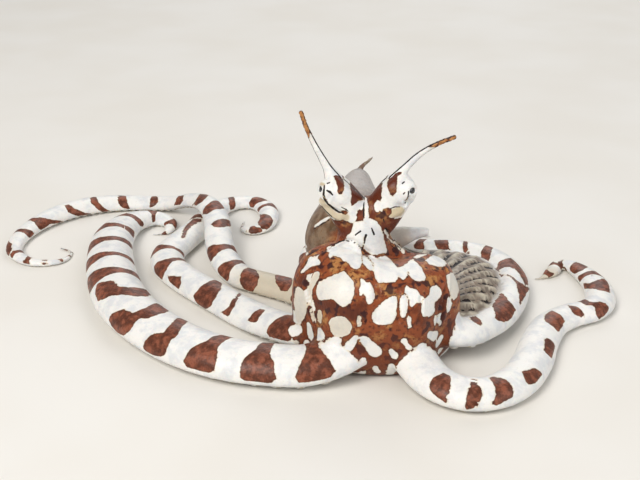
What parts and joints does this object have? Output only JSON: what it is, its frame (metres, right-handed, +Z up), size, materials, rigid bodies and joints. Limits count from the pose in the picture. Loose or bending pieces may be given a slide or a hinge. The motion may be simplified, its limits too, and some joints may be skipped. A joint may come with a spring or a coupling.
{
  "type": "mimic octopus",
  "caption": "Long-armed octopus at rest on the floor, with banded arms spread round a domed web, stalked eyes with tall horns, and a drooping mantle.",
  "frame": {"origin": "centre of the small flat underside of the crown, where the arms meet, at floor level", "axes": "+Z up, -Y the way the animal faces, +X towards its left"},
  "size_m": [0.1857, 0.1357, 0.0642],
  "materials": {
    "body_skin": "moist rust brown skin with sharp-edged white blotches",
    "arm_skin": "moist cream-white skin with dark red-brown bands and pale suckers",
    "eye": "glossy cream-gold eye with a dark level pupil"
  },
  "bodies": {
    "root": {"arm_left_1_a": "arm_skin", "arm_left_1_b": "arm_skin", "arm_left_1_c": "arm_skin", "arm_left_1_d": "arm_skin", "arm_left_2_a": "arm_skin", "arm_left_2_b": "arm_skin", "arm_left_2_c": "arm_skin", "arm_left_2_d": "arm_skin", "arm_left_3_a": "arm_skin", "arm_left_3_b": "arm_skin", "arm_left_3_c": "arm_skin", "arm_left_4_a": "arm_skin", "arm_left_4_b": "arm_skin", "arm_left_4_c": "arm_skin", "arm_left_4_d": "arm_skin", "arm_right_1_a": "arm_skin", "arm_right_1_b": "arm_skin", "arm_right_1_c": "arm_skin", "arm_right_1_d": "arm_skin", "arm_right_2_a": "arm_skin", "arm_right_2_b": "arm_skin", "arm_right_2_c": "arm_skin", "arm_right_2_d": "arm_skin", "arm_right_2_e": "arm_skin", "arm_right_3_a": "arm_skin", "arm_right_3_b": "arm_skin", "arm_right_3_c": "arm_skin", "arm_right_3_d": "arm_skin", "arm_right_3_e": "arm_skin", "arm_right_4_a": "arm_skin", "arm_right_4_b": "arm_skin", "arm_right_4_c": "arm_skin", "arm_right_4_d": "arm_skin", "crown": "body_skin", "eye_left": "eye", "eye_right": "eye", "head": "body_skin", "horn_left": "body_skin", "horn_right": "body_skin", "mantle": "body_skin", "siphon": "body_skin"}
  },
  "joints": []
}
